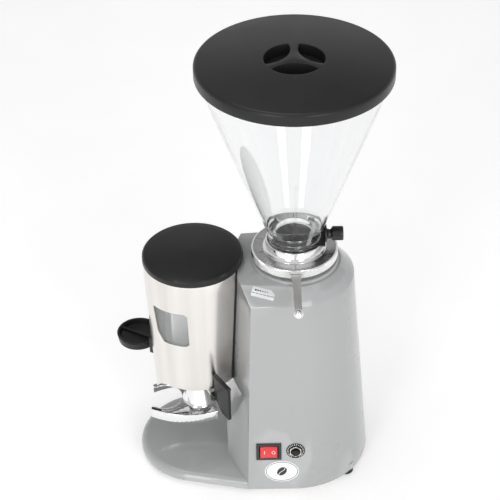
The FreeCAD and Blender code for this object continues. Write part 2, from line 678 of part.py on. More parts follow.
node(feature(gate_plate()), "gate_plate")


def gate_knob():
    """Waisted pull that clamps the slide's tail, with a flared base and a round grip."""
    grip, waist, base = cell("gate_knob_radius"), cell("gate_knob_waist"), cell("gate_knob_base")
    start, end = cell("neck_radius") + 4, cell("gate_knob_end_y")
    grip_y = end - cell("gate_knob_grip") + 8
    mid = cell("gate_z") + cell("gate_thick") / 2
    neck_y = (start + grip_y) / 2
    flare = Part.Arc(V(0, start + 2, mid + base), V(0, neck_y - 2, mid + waist + 0.8),
                     V(0, neck_y + 2, mid + waist)).toShape()
    points = [V(0, neck_y + 2, mid + waist), V(0, grip_y - 1, mid + grip), V(0, end + 7, mid + grip),
              V(0, end + 8, mid + grip - 1), V(0, end + 8, mid), V(0, start, mid), V(0, start, mid + base),
              V(0, start + 2, mid + base)]
    lines = [Part.makeLine(a, b) for a, b in zip(points, points[1:])]
    turned_pull = Part.Face(Part.Wire([flare] + lines)).revolve(V(0, 0, mid), BACK, 360)
    below = Part.makeBox(60, 30, 20, V(-30, start - 1, cell("collar_top_z") - 20 + cell("free_gap")))
    return turned_pull.cut(below)


node(feature(gate_knob()), "gate_knob")


def leaf(length, width, height):
    """Pointed oval prism, the outline of a finger pocket."""
    half, rise = length / 2, width / 2
    a = Part.Arc(V(-half, 0, 0), V(0, rise, 0), V(half, 0, 0)).toShape()
    b = Part.Arc(V(half, 0, 0), V(0, -rise, 0), V(-half, 0, 0)).toShape()
    return Part.Face(Part.Wire([a, b])).extrude(V(0, 0, height))


def hopper_lid():
    """Slightly domed lid with a skirt and three finger pockets."""
    radius, top, skirt = cell("lid_radius"), cell("lid_top_z"), cell("lid_skirt")
    thick, crown, soft = cell("lid_thick"), cell("lid_crown"), cell("lid_fillet")
    inner = cell("hopper_radius") + cell("free_gap")
    flat = radius - soft
    dome_radius = (flat ** 2 + crown ** 2) / (2 * crown)
    dome_mid = top + crown - dome_radius + math.sqrt(dome_radius ** 2 - flat ** 2 / 4)
    dome = Part.Arc(V(flat, 0, top), V(flat / 2, 0, dome_mid), V(0, 0, top + crown))
    rim = Part.Arc(V(radius, 0, top - soft), V(radius - soft * 0.29, 0, top - soft * 0.29),
                   V(radius - soft, 0, top))
    points = [V(0, 0, top + crown), V(0, 0, top - thick), V(inner, 0, top - thick),
              V(inner, 0, top - skirt), V(radius, 0, top - skirt), V(radius, 0, top - soft)]
    lines = [Part.makeLine(a, b) for a, b in zip(points, points[1:])]
    profile = Part.Wire(lines + [rim.toShape(), dome.toShape()])
    body = Part.Face(profile).revolve(V(), UP, 360)
    deep = cell("pocket_depth")
    cups, pits = [], []
    for angle in (0, 120, 240):
        for grow, group, low, high in ((2.0, cups, -2.0, deep), (0.0, pits, 0.0, deep + crown + 1)):
            shape = leaf(cell("pocket_length") + 2 * grow, cell("pocket_width") + 2 * grow, high - low)
            shape.translate(V(0, 0, top - deep + low))
            shape.rotate(V(), UP, 90)
            shape.translate(V(cell("pocket_pitch"), 0, 0))
            shape.rotate(V(), UP, angle)
            group.append(shape)
    return body.fuse(cups).cut(pits)


node(feature(hopper_lid()), "hopper_lid")


# ---------------------------------------------------------------- doser

def doser_radius(z):
    share = (z - cell("doser_low_z")) / (cell("doser_top_z") - cell("doser_low_z"))
    return cell("doser_low_radius") + share * (cell("doser_top_radius") - cell("doser_low_radius"))


def doser_cone(z_low, z_high, inset=0.0):
    return Part.makeCone(doser_radius(z_low) - inset, doser_radius(z_high) - inset, z_high - z_low,
                         V(0, -cell("doser_y"), z_low))


def behind(offset, half=90.0, z_low=None, z_high=None):
    """Everything behind the nose's leaning front plane, moved forward by an offset."""
    z_low = cell("doser_low_z") - 20 if z_low is None else z_low
    z_high = cell("doser_top_z") + 10 if z_high is None else z_high
    wedge = polygon([V(-half, nose_front(z_low) - offset, z_low), V(-half, 0, z_low),
                     V(-half, 0, z_high), V(-half, nose_front(z_high) - offset, z_high)])
    return Part.Face(wedge).extrude(V(2 * half, 0, 0))


def rim_cut():
    """Space under the shell's lower edge, which drops to a tongue at the front."""
    axis, low, rim = -cell("doser_y"), cell("doser_low_z"), cell("doser_rim_z")
    front, rise = axis - cell("rim_drop_y"), axis - cell("rim_rise_y")
    curve = Part.BezierCurve()
    curve.setPoles([V(-90, front, low), V(-90, front + 5, rim - 2), V(-90, front + 14, rim),
                    V(-90, rise, rim)])
    points = [V(-90, rise, rim), V(-90, 0, rim), V(-90, 0, low - 10), V(-90, front, low - 10),
              V(-90, front, low)]
    lines = [Part.makeLine(a, b) for a, b in zip(points, points[1:])]
    return Part.Face(Part.Wire([curve.toShape()] + lines)).extrude(V(180, 0, 0))


def window_prism(grow):
    """Prism of the window's outline, square to the shell at the window's middle."""
    low_a, high_a = cell("window_low_angle"), cell("window_high_angle")
    low_z, high_z = cell("window_low_z"), cell("window_high_z")
    mid = (low_a + high_a) / 2
    radius = doser_radius((low_z + high_z) / 2)
    half = radius * math.sin(math.radians(mid - low_a)) + grow
    slant = cell("window_slant")
    soft = 4 + grow
    corners = [(-half, high_z - 4 + grow), (-half + slant * 0.4, low_z + slant),
               (-half + slant * 1.2, low_z - grow), (half - soft, low_z + 1 - grow), (half, low_z + 5),
               (half, high_z - soft), (half - soft, high_z + grow), (-half + soft, high_z - 3 + grow)]
    face = Part.Face(polygon([V(side, -30, z) for side, z in corners]))
    prism = face.extrude(V(0, -60, 0))
    prism.rotate(V(), UP, mid)
    prism.translate(V(0, -cell("doser_y"), 0))
    return prism


def doser_shell():
    low, high, wall = cell("doser_low_z"), cell("doser_top_z"), cell("doser_wall")
    tube = doser_cone(low, high).cut(doser_cone(low, high, wall))
    return tube.cut([behind(cell("gasket_thick")), rim_cut(), window_prism(0)])


def chute_hole():
    half = cell("chute_half_width")
    return Part.makeBox(2 * half, 60, cell("chute_height"), V(-half, -cell("doser_y"), cell("chute_z")))


def back_plate():
    low, high = cell("doser_rim_z"), cell("doser_top_z")
    slab = behind(cell("gasket_thick") + cell("back_plate_thick")).cut(behind(cell("gasket_thick")))
    return slab.common(doser_cone(low, high, cell("doser_wall"))).cut(chute_hole())


def gasket():
    half, low, high = cell("nose_half_width"), cell("nose_bottom_z"), cell("shoulder_top_z")
    slab = behind(cell("gasket_thick"), half, low + 2, high).cut(behind(0, half + 1, low, high + 2))
    return slab.cut(chute_hole())


def doser_floor():
    """Floor of the doser with the outlet ahead of the star's axle."""
    z, thick = cell("doser_floor_z"), cell("doser_floor_thick")
    plate = doser_cone(z - thick, z, cell("doser_wall"))
    plate = plate.cut(behind(cell("gasket_thick") + cell("back_plate_thick")))
    axis = -cell("doser_y")
    outlet = Part.makeCylinder(cell("outlet_radius"), thick + 2, V(0, axis - cell("outlet_pitch"), z - thick - 1))
    bore = Part.makeCylinder(cell("axle_radius") + cell("free_gap"), thick + 2, V(0, axis, z - thick - 1))
    return plate.cut([outlet, bore])


node(feature(doser_shell()), "doser_shell")
node(feature(doser_cone(cell("window_low_z") - 6, cell("window_high_z") + 6, cell("doser_wall"))
             .cut(doser_cone(cell("window_low_z") - 6, cell("window_high_z") + 6,
                             cell("doser_wall") + cell("window_thick")))
             .common(window_prism(4))), "doser_window")
node(feature(back_plate()), "doser_back_plate")
node(feature(gasket()), "doser_gasket")
node(feature(doser_floor()), "doser_floor")


def doser_screws():
    """Pan-head screws through the back plate into the nose."""
    screws = []
    for side in (-1, 1):
        for z in (cell("chute_z") - 40, cell("chute_z") - 80):
            tip = nose_front(z)
            x = side * cell("nose_half_width") * 0.55
            face = tip - cell("gasket_thick") - cell("back_plate_thick")
            head = Part.makeCylinder(4, 3, V(x, face - 3.4, z), BACK)
            stem = Part.makeCylinder(2, 12, V(x, face - 1, z), BACK)
            screws.append(head.fuse(stem).removeSplitter())
    return Part.makeCompound(screws)


SCREWS = node(feature(doser_screws()), "doser_screws")
for label in ("housing", "doser_back_plate", "doser_gasket"):
    item = [piece for piece in nodes if piece.Label == label][0]
    item.Shape = item.Shape.cut(SCREWS.Shape)

node(turned([("0", "doser_top_z - 5"), ("doser_lid_plug - 2", "doser_top_z - 5"),
             ("doser_lid_plug", "doser_top_z + rest_gap"),
             ("doser_lid_radius", "doser_top_z + rest_gap"),
             ("doser_lid_radius", "doser_top_z + rest_gap + doser_lid_skirt - 2"),
             ("doser_lid_radius - 2", "doser_top_z + rest_gap + doser_lid_skirt"),
             ("0", "doser_top_z + rest_gap + doser_lid_skirt + doser_lid_crown")], "0", "-doser_y"),
     "doser_lid")


def star_wheel():
    """Portioning star: a hub with upright vanes, open above and below."""
    z, tall = cell("doser_floor_z") + cell("free_gap"), cell("star_height")
    axis = V(0, -cell("doser_y"), 0)
    hub = Part.makeCylinder(cell("star_hub"), tall, V(0, axis.y, z))
    vane = Part.makeBox(cell("star_radius"), cell("star_vane_thick"), tall,
                        V(0, axis.y - cell("star_vane_thick") / 2, z))
    whole = hub.fuse(ring_copies(vane, cell("star_vanes"), axis, 15))
    trim = Part.makeCylinder(cell("star_radius"), tall, V(0, axis.y, z))
    bore = Part.makeCylinder(cell("axle_radius") + cell("running_gap"), tall + 2, V(0, axis.y, z - 1))
    return whole.common(trim).cut(bore)


node(feature(star_wheel()), "star_wheel")


def ratchet():
    """Ratchet ring with one tooth for each half chamber, fixed on the star's hub."""
    z = cell("doser_floor_z") + cell("free_gap") + cell("star_height")
    axis = -cell("doser_y")
    outer, inner = cell("star_hub") + 6, cell("star_hub") + 3
    count = int(cell("star_vanes")) * 2
    points = []
    for index in range(count):
        for radius, turn in ((outer, index), (inner, index + 0.999)):
            angle = 2 * math.pi * turn / count
            points.append(V(radius * math.cos(angle), axis + radius * math.sin(angle), z))
    disc = Part.Face(polygon(points)).extrude(V(0, 0, 5))
    return disc.cut(Part.makeCylinder(cell("axle_radius") + cell("running_gap"), 8, V(0, axis, z - 1)))


node(feature(ratchet()), "ratchet_wheel")
STAR_TOP = "doser_floor_z + free_gap + star_height + 5"


def lever_arm():
    """Arm from the axle to the paddle, square to the axle, then the pawl on top."""
    axis, z, tall = -cell("doser_y"), cell("arm_z"), cell("arm_height")
    half = cell("arm_width") / 2
    x, y = cell("paddle_x"), cell("paddle_y")
    turn = math.atan2(y, x)
    reach = math.hypot(x, y)
    bar = Part.makeBox(reach, 2 * half, tall, V(0, axis - half, z))
    bar.rotate(V(0, axis, z), UP, math.degrees(turn))
    star_top = worth(STAR_TOP)
    shaft_top = star_top + cell("free_gap") + cell("knob_height")
    shaft = Part.makeCylinder(cell("axle_radius"), shaft_top - z, V(0, axis, z))
    pawl = Part.makeBox(cell("star_hub") + 5, 5, 3, V(0, axis - 2.5, star_top + cell("free_gap")))
    return bar.fuse([shaft, pawl]).removeSplitter()


node(feature(lever_arm()), "doser_lever_arm")


def lever_paddle():
    """Upright paddle with a thick rounded top edge."""
    long, tall, thick = cell("paddle_length"), cell("paddle_height"), cell("paddle_thick")
    plate = Part.makeBox(long, thick, tall - thick * 0.75, V(0, -thick / 2, 0))
    bead = Part.makeCylinder(thick * 0.75, long, V(0, 0, tall - thick * 0.75), RIGHT)
    hook = Part.makeBox(8, cell("arm_width") + 2, cell("arm_height") + 2,
                        V(-5, -cell("arm_width") / 2 - 1, cell("arm_z") - cell("paddle_z") - 1))
    foot = polygon([V(-1, -10, -1), V(long * 0.55, -10, -1), V(-1, -10, tall * 0.28)])
    chamfer = Part.Face(foot).extrude(V(0, 20, 0))
    body = plate.fuse([bead, hook]).cut(chamfer).removeSplitter()
    body.rotate(V(), UP, cell("paddle_angle"))
    body.translate(V(cell("paddle_x"), -cell("doser_y") + cell("paddle_y"), cell("paddle_z")))
    arm_piece = lever_arm()
    return body.cut(arm_piece)


node(feature(lever_paddle()), "doser_lever_paddle")
node(cut(cylinder("knob_radius", "knob_height", "0", "-doser_y", STAR_TOP + " + free_gap * 2 + 3"),
         cylinder("axle_radius + running_gap", "knob_height - 3", "0", "-doser_y",
                  STAR_TOP + " + free_gap * 2 + 3")), "dose_knob")


# ---------------------------------------------------------------- fork

def fork():
    """Chromed fork: two bowed prongs with an edge wall, open at the front."""
    z, thick, rim = cell("fork_z"), cell("fork_thick"), cell("fork_rim_height")
    tip = V(cell("fork_tip_x"), -cell("fork_tip_y"), z)
    bow = V(cell("fork_bow_x"), -cell("fork_bow_y"), z)
    root = V(cell("fork_root_x"), -cell("fork_root_y"), z)

    def outline(inset):
        moved = [V(p.x - inset, p.y + lift, p.z) for p, lift in ((tip, 0), (bow, 0), (root, -inset))]
        flip = [V(-p.x, p.y, p.z) for p in moved]
        right = Part.Arc(moved[0], moved[1], moved[2]).toShape()
        left = Part.Arc(flip[2], flip[1], flip[0]).toShape()
        return Part.Face(Part.Wire([right, Part.makeLine(moved[2], flip[2]), left,
                                    Part.makeLine(flip[0], moved[0])]))

    plate = outline(0).extrude(V(0, 0, thick))
    wall = outline(0).extrude(V(0, 0, -rim + thick)).cut(
        outline(cell("fork_rim_wall")).extrude(V(0, 0, -rim)))
    opening = Part.makeCylinder(cell("fork_open_radius"), rim + thick + 4,
                                V(0, -cell("fork_open_y"), z - rim - 1))
    mouth = Part.makeBox(2 * cell("fork_mouth"), 30, rim + thick + 4,
                         V(-cell("fork_mouth"), -cell("fork_tip_y") - 12, z - rim - 1))
    return plate.fuse(wall).cut([opening, mouth]).removeSplitter()


node(feature(fork()), "fork")


def fork_bracket():
    """Post that hangs the fork from the doser's floor and carries the lever's axle."""
    axis = -cell("doser_y")
    base_r, post_r = cell("bracket_base_radius"), cell("bracket_radius")
    low, neck = cell("fork_z") + cell("fork_thick"), cell("bracket_neck_z")
    top = cell("doser_floor_z") - cell("doser_floor_thick")
    post = Part.makeCone(base_r, post_r, neck - low, V(0, axis, low)).fuse(
        Part.makeCylinder(post_r, top - neck, V(0, axis, neck)))
    bore = Part.makeCylinder(cell("axle_radius") + cell("running_gap"), top - neck, V(0, axis, neck + 2))
    gap = cell("free_gap")
    slot = Part.makeBox(2 * post_r, 4 * post_r, cell("arm_height") + 2 * gap,
                        V(-cell("axle_radius") - gap, axis - 2 * post_r, cell("arm_z") - gap))
    return post.cut([bore, slot]).removeSplitter()


node(feature(fork_bracket()), "fork_bracket")
node(ring("bracket_radius + 0.2", "bracket_radius + 2", "8", "bracket_neck_z + 2", "0", "-doser_y"),
     "return_spring")


def fork_screws():
    axis, z = -cell("doser_y"), cell("fork_z")
    screws = []
    for side in (-1, 1):
        x = side * cell("bracket_radius") * 0.6
        screws.append(Part.makeCylinder(3.4, 2.5, V(x, axis, z - 2.5)).fuse(
            Part.makeCylinder(1.8, 12, V(x, axis, z - 1))).removeSplitter())
    return Part.makeCompound(screws)


FORK_SCREWS = node(feature(fork_screws()), "fork_screws")
for label in ("fork", "fork_bracket"):
    item = [piece for piece in nodes if piece.Label == label][0]
    item.Shape = item.Shape.cut(FORK_SCREWS.Shape)


# ---------------------------------------------------------------- tamper

def tamper():
    """Round tamper with a raised rim and a stiffening rib across its open top."""
    x, y, z = -cell("tamper_x"), -cell("tamper_y"), cell("tamper_z")
    radius, wall, tall = cell("tamper_radius"), cell("tamper_wall"), cell("tamper_height")
    low = z - tall
    dish = Part.makeCone(radius - 1.5, radius, tall, V(x, y, low)).cut(
        Part.makeCone(radius - 1.5 - wall, radius - wall, tall, V(x, y, low + cell("tamper_floor"))))
    rib = Part.makeBox(2 * radius - 3, wall, tall - 3, V(x - radius + 1.5, y - wall / 2, low + 1))
    rib.rotate(V(x, y, low), UP, 60)
    return dish.fuse(rib).removeSplitter()


def tamper_arm():
    """Short arm from the doser's shell to the tamper's rim."""
    x, y, z = -cell("tamper_x"), -cell("tamper_y"), cell("tamper_z")
    axis = -cell("doser_y")
    reach = math.hypot(x, y - axis)
    turn = math.degrees(math.atan2(y - axis, x))
    tall = cell("tamper_height")
    arm_box = Part.makeBox(reach - 35, 16, tall, V(35, axis - 8, z - tall))
    pad = Part.makeBox(12, 34, tall + 14, V(50, axis - 17, z - tall - 2))
    body = arm_box.fuse(pad)
    body.rotate(V(0, axis, z), UP, turn)
    dish = Part.makeCone(cell("tamper_radius") - 1.5, cell("tamper_radius"), tall, V(x, y, z - tall))
    outside = body.cut([doser_cone(cell("doser_low_z") - 8, cell("doser_top_z")), dish])
    return max(outside.Solids, key=lambda solid: solid.Volume)


node(feature(tamper()), "tamper")
node(feature(tamper_arm()), "tamper_arm")


# ---------------------------------------------------------------- controls on the right side

def on_wall(shape, y, z, label):
    """Piece drawn with local X down the face, local Y to the rear and local Z outward."""
    return node(feature(shape, wall_frame(y, z)), label)


def switch_bezel():
    long, wide, lip = cell("switch_length"), cell("switch_width"), cell("switch_bezel")
    opening_x = cell("rocker_width") + 2 * cell("free_gap")
    swing = 2 * (lip + 1) * math.sin(math.radians(cell("rocker_tilt")))
    opening_y = cell("rocker_length") + 2 * cell("free_gap") + swing
    flange = Part.makeBox(wide, long, lip, V(-wide / 2, -long / 2, 0))
    can = Part.makeBox(wide - 5, long - 5, 22, V(-(wide - 5) / 2, -(long - 5) / 2, -22))
    well = Part.makeBox(opening_x, opening_y, 12 + lip, V(-opening_x / 2, -opening_y / 2, -12))
    return flange.fuse(can).cut(well).removeSplitter()


def rocker():
    """Rocker with a V top, pivoting across its middle; pressed at the rear when off."""
    half, width, tilt = cell("rocker_length") / 2, cell("rocker_width"), cell("rocker_tilt")
    lift = cell("switch_bezel") + 1
    low = lift - half * math.sin(math.radians(tilt)) * 0.25
    side = [V(-width / 2, -half, lift), V(-width / 2, 0, low), V(-width / 2, half, lift),
            V(-width / 2, half - 3, -5), V(-width / 2, 0, -7), V(-width / 2, -half + 3, -5)]
    body = Part.Face(polygon(side)).extrude(V(width, 0, 0))
    body.rotate(V(0, 0, 0), RIGHT, -tilt)
    return body


SWITCH = (-cell("switch_y"), cell("switch_z"))
BREAKER = (-cell("breaker_y"), cell("breaker_z"))
on_wall(switch_bezel(), *SWITCH, "switch_bezel")
on_wall(rocker(), *SWITCH, "switch_rocker")
on_wall(Part.makeCylinder(cell("breaker_nut_radius") - 2, 22, V(0, 0, -20)).cut(
    Part.makeCylinder(cell("breaker_button_radius") + cell("running_gap"), 16, V(0, 0, -11))),
    *BREAKER, "breaker_body")
on_wall(Part.makeCylinder(cell("breaker_radius"), 0.6).cut(
    Part.makeCylinder(cell("breaker_nut_radius") - 2, 2, V(0, 0, -1))), *BREAKER, "breaker_label")


def hex_nut():
    points = [V(cell("breaker_nut_radius") * math.cos(math.radians(60 * i)),
                cell("breaker_nut_radius") * math.sin(math.radians(60 * i)), 0.6) for i in range(6)]
    nut = Part.Face(polygon(points)).extrude(V(0, 0, 2.4))
    return nut.cut(Part.makeCylinder(cell("breaker_nut_radius") - 2, 6, V(0, 0, -1)))


on_wall(hex_nut(), *BREAKER, "breaker_nut")
on_wall(Part.makeCylinder(cell("breaker_button_radius"), 13, V(0, 0, -7)), *BREAKER, "reset_button")


def oval_label():
    long, wide = cell("sticker_length") / 2, cell("sticker_width") / 2
    ellipse = Part.Ellipse(V(0, long, 0), V(wide, 0, 0), V(0, 0, 0)).toShape()
    return Part.Face(Part.Wire([ellipse])).extrude(V(0, 0, cell("sticker_thick")))


on_wall(oval_label(), -cell("sticker_y"), cell("sticker_z"), "oval_label")


def rating_label():
    """Thin plate on the shoulder beside the dial, cut to the casting that it lies on."""
    long, wide, thick = cell("rating_length"), cell("rating_width"), cell("sticker_thick")
    rise = cell("shoulder_top_z") - cell("body_top_z")
    neck = cell("shoulder_neck_radius")
    top_x = neck + (cell("shoulder_corner_x") - neck) * cell("rating_y") / cell("shoulder_corner_y")
    run = cell("body_top_radius") - top_x
    lean = math.degrees(math.atan2(rise, run))
    share = cell("rating_share")
    spot = V(cell("body_top_radius") - run * share, -cell("rating_y"), cell("body_top_z") + rise * share)
    plate = Part.makeBox(wide, long, 2 * thick, V(-wide / 2, -long / 2, -thick))
    plate.Placement = FreeCAD.Placement(
        spot, FreeCAD.Rotation(BACK, lean) * FreeCAD.Rotation(UP, -cell("rating_turn")))
    return plate.cut(HOUSING.Shape)


node(feature(rating_label()), "rating_label")


def gland():
    """Cord inlet bush low in the left wall, drawn with local Z outward."""
    radius, inside, out = cell("gland_radius"), cell("gland_in"), cell("gland_out")
    bush = Part.makeCylinder(radius - cell("running_gap"), inside + out, V(0, 0, -inside))
    flange = Part.makeCylinder(radius + cell("gland_flange"), out, V(0, 0, cell("running_gap")))
    return bush.fuse(flange).cut(Part.makeCylinder(cell("gland_bore"), 40, V(0, 0, -20))).removeSplitter()


node(feature(gland(), left_frame(-cell("gland_y"), cell("gland_z"))), "cord_inlet_gland")

# ---------------------------------------------------------------- checks and files

doc.removeObject("Scratch")
doc.recompute()
for item in doc.Objects:
    if "Invalid" in item.State or "Error" in item.State:
        raise RuntimeError(f"{item.Label} failed: {item.State}")
for item in nodes:
    if item.Shape.isNull() or not item.Shape.isValid() or item.Shape.Volume <= 0:
        raise RuntimeError(f"{item.Label} has no valid shape")
os.makedirs("parts", exist_ok=True)
for item in nodes:
    item.Shape.exportStep(f"parts/{item.Label}.step")
print(len(nodes), "pieces")
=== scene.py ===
import json
import math
import bpy
import bmesh
from mathutils import Matrix, Vector
from mathutils.bvhtree import BVHTree


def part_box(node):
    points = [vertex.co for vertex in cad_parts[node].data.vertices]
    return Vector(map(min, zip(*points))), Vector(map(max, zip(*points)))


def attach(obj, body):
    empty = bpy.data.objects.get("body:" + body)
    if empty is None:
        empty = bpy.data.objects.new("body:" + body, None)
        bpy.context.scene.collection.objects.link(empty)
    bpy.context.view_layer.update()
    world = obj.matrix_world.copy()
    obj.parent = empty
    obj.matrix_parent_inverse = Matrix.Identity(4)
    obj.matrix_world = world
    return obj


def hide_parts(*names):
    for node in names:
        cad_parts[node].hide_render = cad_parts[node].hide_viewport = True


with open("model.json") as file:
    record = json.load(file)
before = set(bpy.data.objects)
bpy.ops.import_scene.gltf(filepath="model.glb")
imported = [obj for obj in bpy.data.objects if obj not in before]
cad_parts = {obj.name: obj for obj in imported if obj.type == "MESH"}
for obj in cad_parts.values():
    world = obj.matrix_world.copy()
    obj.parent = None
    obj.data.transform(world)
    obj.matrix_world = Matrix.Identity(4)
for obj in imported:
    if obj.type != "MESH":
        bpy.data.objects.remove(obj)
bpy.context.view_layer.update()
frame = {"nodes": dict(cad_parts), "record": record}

NODES = frame["nodes"]
SCENE = bpy.context.scene
MM = 0.001
WORLD_LIGHT = 0.74
FAR_WALL = 0.25
FLOOR_GLOW = 0.27
PITCH, TURN = math.radians(37.10), math.radians(1.40)

DOSER_CENTRE = (0, -0.1244)
DOSER_LID_CROWN, HOPPER_LID_CROWN = 0.8, 0.42
FINE_EDGE = 0.0003

# millimetres
SPIGOT_INNER, SPIGOT_OUTER = 26, 30
DIAL_UNDERSIDE, DIAL_FLOOR, DIAL_BORE = 319, 322.7, 32.9
DIAL_BEVEL, DIAL_SOFT = 1.6, 0.25
KNURL_LINES, KNURL_DEPTH = 440, 0.55
TICK_END, NUMBER_RADIUS, NUMBER_SIZE, MARK_HEIGHT = 49.6, 42.6, 4.6, 0.06
PRINT_SINK, PRINT_REACH = 0.02, 5
TICK_RADIUS, TICK_WIDTH = 10.1, 0.75
CONE_FOOT_Z, CONE_FOOT_RADIUS, CONE_SLOPE = 364, 37, 73 / 208
NECK_SLOPE, RIB_SINK = 0.3, 0.4
RIB_LOW_Z, RIB_HIGH_Z, RIB_HALF_WIDTH, RIB_LIFT = 352, 398, 3.0, 2.6
RIB_ANGLE = 28


# ------------------------------------------------------------------ materials

def coords(tree, scale):
    """Object coordinates, stretched."""
    texture = tree.nodes.new("ShaderNodeTexCoord")
    mapping = tree.nodes.new("ShaderNodeMapping")
    mapping.inputs["Scale"].default_value = scale
    tree.links.new(texture.outputs["Object"], mapping.inputs["Vector"])
    return mapping.outputs["Vector"]


def noise(tree, scale, stretch=(1, 1, 1), detail=4.0):
    node = tree.nodes.new("ShaderNodeTexNoise")
    node.inputs["Scale"].default_value = scale
    node.inputs["Detail"].default_value = detail
    tree.links.new(coords(tree, stretch), node.inputs["Vector"])
    return node.outputs["Fac"]


def ramp(tree, value, low, high, start=0.25, end=0.75):
    node = tree.nodes.new("ShaderNodeValToRGB")
    node.color_ramp.interpolation = "EASE"
    node.color_ramp.elements[0].position = start
    node.color_ramp.elements[1].position = end
    node.color_ramp.elements[0].color = (*low, 1)
    node.color_ramp.elements[1].color = (*high, 1)
    tree.links.new(value, node.inputs["Fac"])
    return node.outputs["Color"]


def spread(tree, value, low, high):
    node = tree.nodes.new("ShaderNodeMapRange")
    node.interpolation_type = "SMOOTHSTEP"
    node.inputs["From Min"].default_value = 0.2
    node.inputs["From Max"].default_value = 0.8
    node.inputs["To Min"].default_value = low
    node.inputs["To Max"].default_value = high
    tree.links.new(value, node.inputs["Value"])
    return node.outputs["Result"]


def worn_edges(tree, colour, highlight_colour):
    """Painted highlight: mix towards a paler colour where the surface is sharply convex."""
    geometry = tree.nodes.new("ShaderNodeNewGeometry")
    edge = tree.nodes.new("ShaderNodeMapRange")
    edge.inputs["From Min"].default_value = 0.53
    edge.inputs["From Max"].default_value = 0.62
    tree.links.new(geometry.outputs["Pointiness"], edge.inputs["Value"])
    mix = tree.nodes.new("ShaderNodeMix")
    mix.data_type = "RGBA"
    tree.links.new(edge.outputs["Result"], mix.inputs["Factor"])
    tree.links.new(colour, mix.inputs[6])
    mix.inputs[7].default_value = (*highlight_colour, 1)
    return mix.outputs[2]


def finish(name, low, high, rough, metal=0.0, blotch=9.0, stretch=(1, 1, 1), grain=400.0,
           grain_stretch=(1, 1, 1), bump=0.02, depth=0.0002, highlight_colour=None, **sockets):
    """Material with colour drift, roughness drift, a fine bump and, if asked, a painted highlight: paler
    colour on sharply convex edges.
    """
    material = bpy.data.materials.new(name)
    material.use_nodes = True
    tree = material.node_tree
    shader = tree.nodes["Principled BSDF"]
    colour = ramp(tree, noise(tree, blotch, stretch), low, high)
    # Painted highlight: paler colour on sharply convex edges.
    if highlight_colour is not None:
        colour = worn_edges(tree, colour, highlight_colour)
    tree.links.new(colour, shader.inputs["Base Color"])
    tree.links.new(spread(tree, noise(tree, blotch * 2.3, stretch), rough[0], rough[1]),
                   shader.inputs["Roughness"])
    shader.inputs["Metallic"].default_value = metal
    node = tree.nodes.new("ShaderNodeBump")
    node.inputs["Strength"].default_value = bump
    node.inputs["Distance"].default_value = depth
    tree.links.new(noise(tree, grain, grain_stretch, 2.0), node.inputs["Height"])
    tree.links.new(node.outputs["Normal"], shader.inputs["Normal"])
    for socket, value in sockets.items():
        shader.inputs[socket.replace("_", " ")].default_value = value
    return material


# The paler colour on the paint's convex edges is a painted highlight.
PAINT = finish("grey_gloss_paint", (0.355, 0.36, 0.362), (0.375, 0.38, 0.382), (0.26, 0.31), blotch=3,
               grain=190, bump=0.10, depth=0.0004, highlight_colour=(0.42, 0.425, 0.43), Coat_Weight=0.6,
               Coat_Roughness=0.06)
# The paler colour on the black plastic's convex edges is a painted highlight.
BLACK = finish("black_satin_plastic", (0.010, 0.010, 0.0105), (0.014, 0.014, 0.0145), (0.33, 0.39),
               grain=1800, bump=0.10, depth=0.0002, highlight_colour=(0.03, 0.03, 0.03), Specular_IOR_Level=0.32)
KNOB = finish("black_gloss_plastic", (0.01, 0.01, 0.0105), (0.014, 0.014, 0.0145), (0.16, 0.22),
              grain=1500, bump=0.05, depth=0.0001)
STEEL = finish("brushed_steel", (0.74, 0.715, 0.68), (0.83, 0.805, 0.775), (0.2, 0.27), metal=1.0,
               blotch=60, stretch=(1, 1, 0.02), grain=1400, grain_stretch=(1, 1, 0.01), bump=0.06,
               depth=0.00006, Anisotropic=0.5)
CHROME = finish("chrome", (0.80, 0.80, 0.81), (0.86, 0.86, 0.86), (0.03, 0.07), metal=1.0, grain=30,
                bump=0.03, depth=0.0001)
MACHINED = finish("machined_steel", (0.66, 0.645, 0.63), (0.76, 0.745, 0.73), (0.2, 0.3), metal=1.0,
                  blotch=30, grain=90, grain_stretch=(0.05, 1, 1), bump=0.15, depth=0.0001)
SATIN = finish("satin_aluminium", (0.74, 0.74, 0.74), (0.84, 0.84, 0.83), (0.2, 0.3), metal=1.0,
               blotch=30, grain=900, bump=0.12, depth=0.0001)
CAST = finish("cast_metal", (0.16, 0.16, 0.165), (0.24, 0.24, 0.24), (0.5, 0.65), metal=0.8,
              blotch=40, grain=500, bump=0.4, depth=0.0003)
COPPER = finish("varnished_copper", (0.4, 0.16, 0.06), (0.55, 0.25, 0.1), (0.3, 0.45), metal=0.9,
                blotch=60, grain=300, grain_stretch=(1, 1, 8), bump=0.6, depth=0.0006)
RUBBER = finish("black_rubber", (0.009, 0.009, 0.009), (0.015, 0.015, 0.015), (0.6, 0.75), grain=900,
                bump=0.3, depth=0.0003)
BEZEL = finish("switch_bezel_plastic", (0.012, 0.022, 0.02), (0.017, 0.03, 0.027), (0.3, 0.38),
               grain=2500, bump=0.12, depth=0.0002)
RED = finish("red_rocker_plastic", (0.62, 0.012, 0.016), (0.72, 0.022, 0.024), (0.16, 0.24), grain=1500,
             bump=0.05, depth=0.0002, Coat_Weight=0.4)
WHITE = finish("white_film", (0.80, 0.80, 0.80), (0.86, 0.86, 0.86), (0.25, 0.35), grain=900, bump=0.05,
               depth=0.0001)
SILVER = finish("silver_film", (0.56, 0.575, 0.59), (0.66, 0.675, 0.69), (0.3, 0.4), metal=0.2,
                blotch=60, grain=900, bump=0.05, depth=0.0001)
VANES = finish("white_moulded_plastic", (0.80, 0.81, 0.81), (0.86, 0.87, 0.87), (0.3, 0.4), grain=800,
               bump=0.08, depth=0.0002)
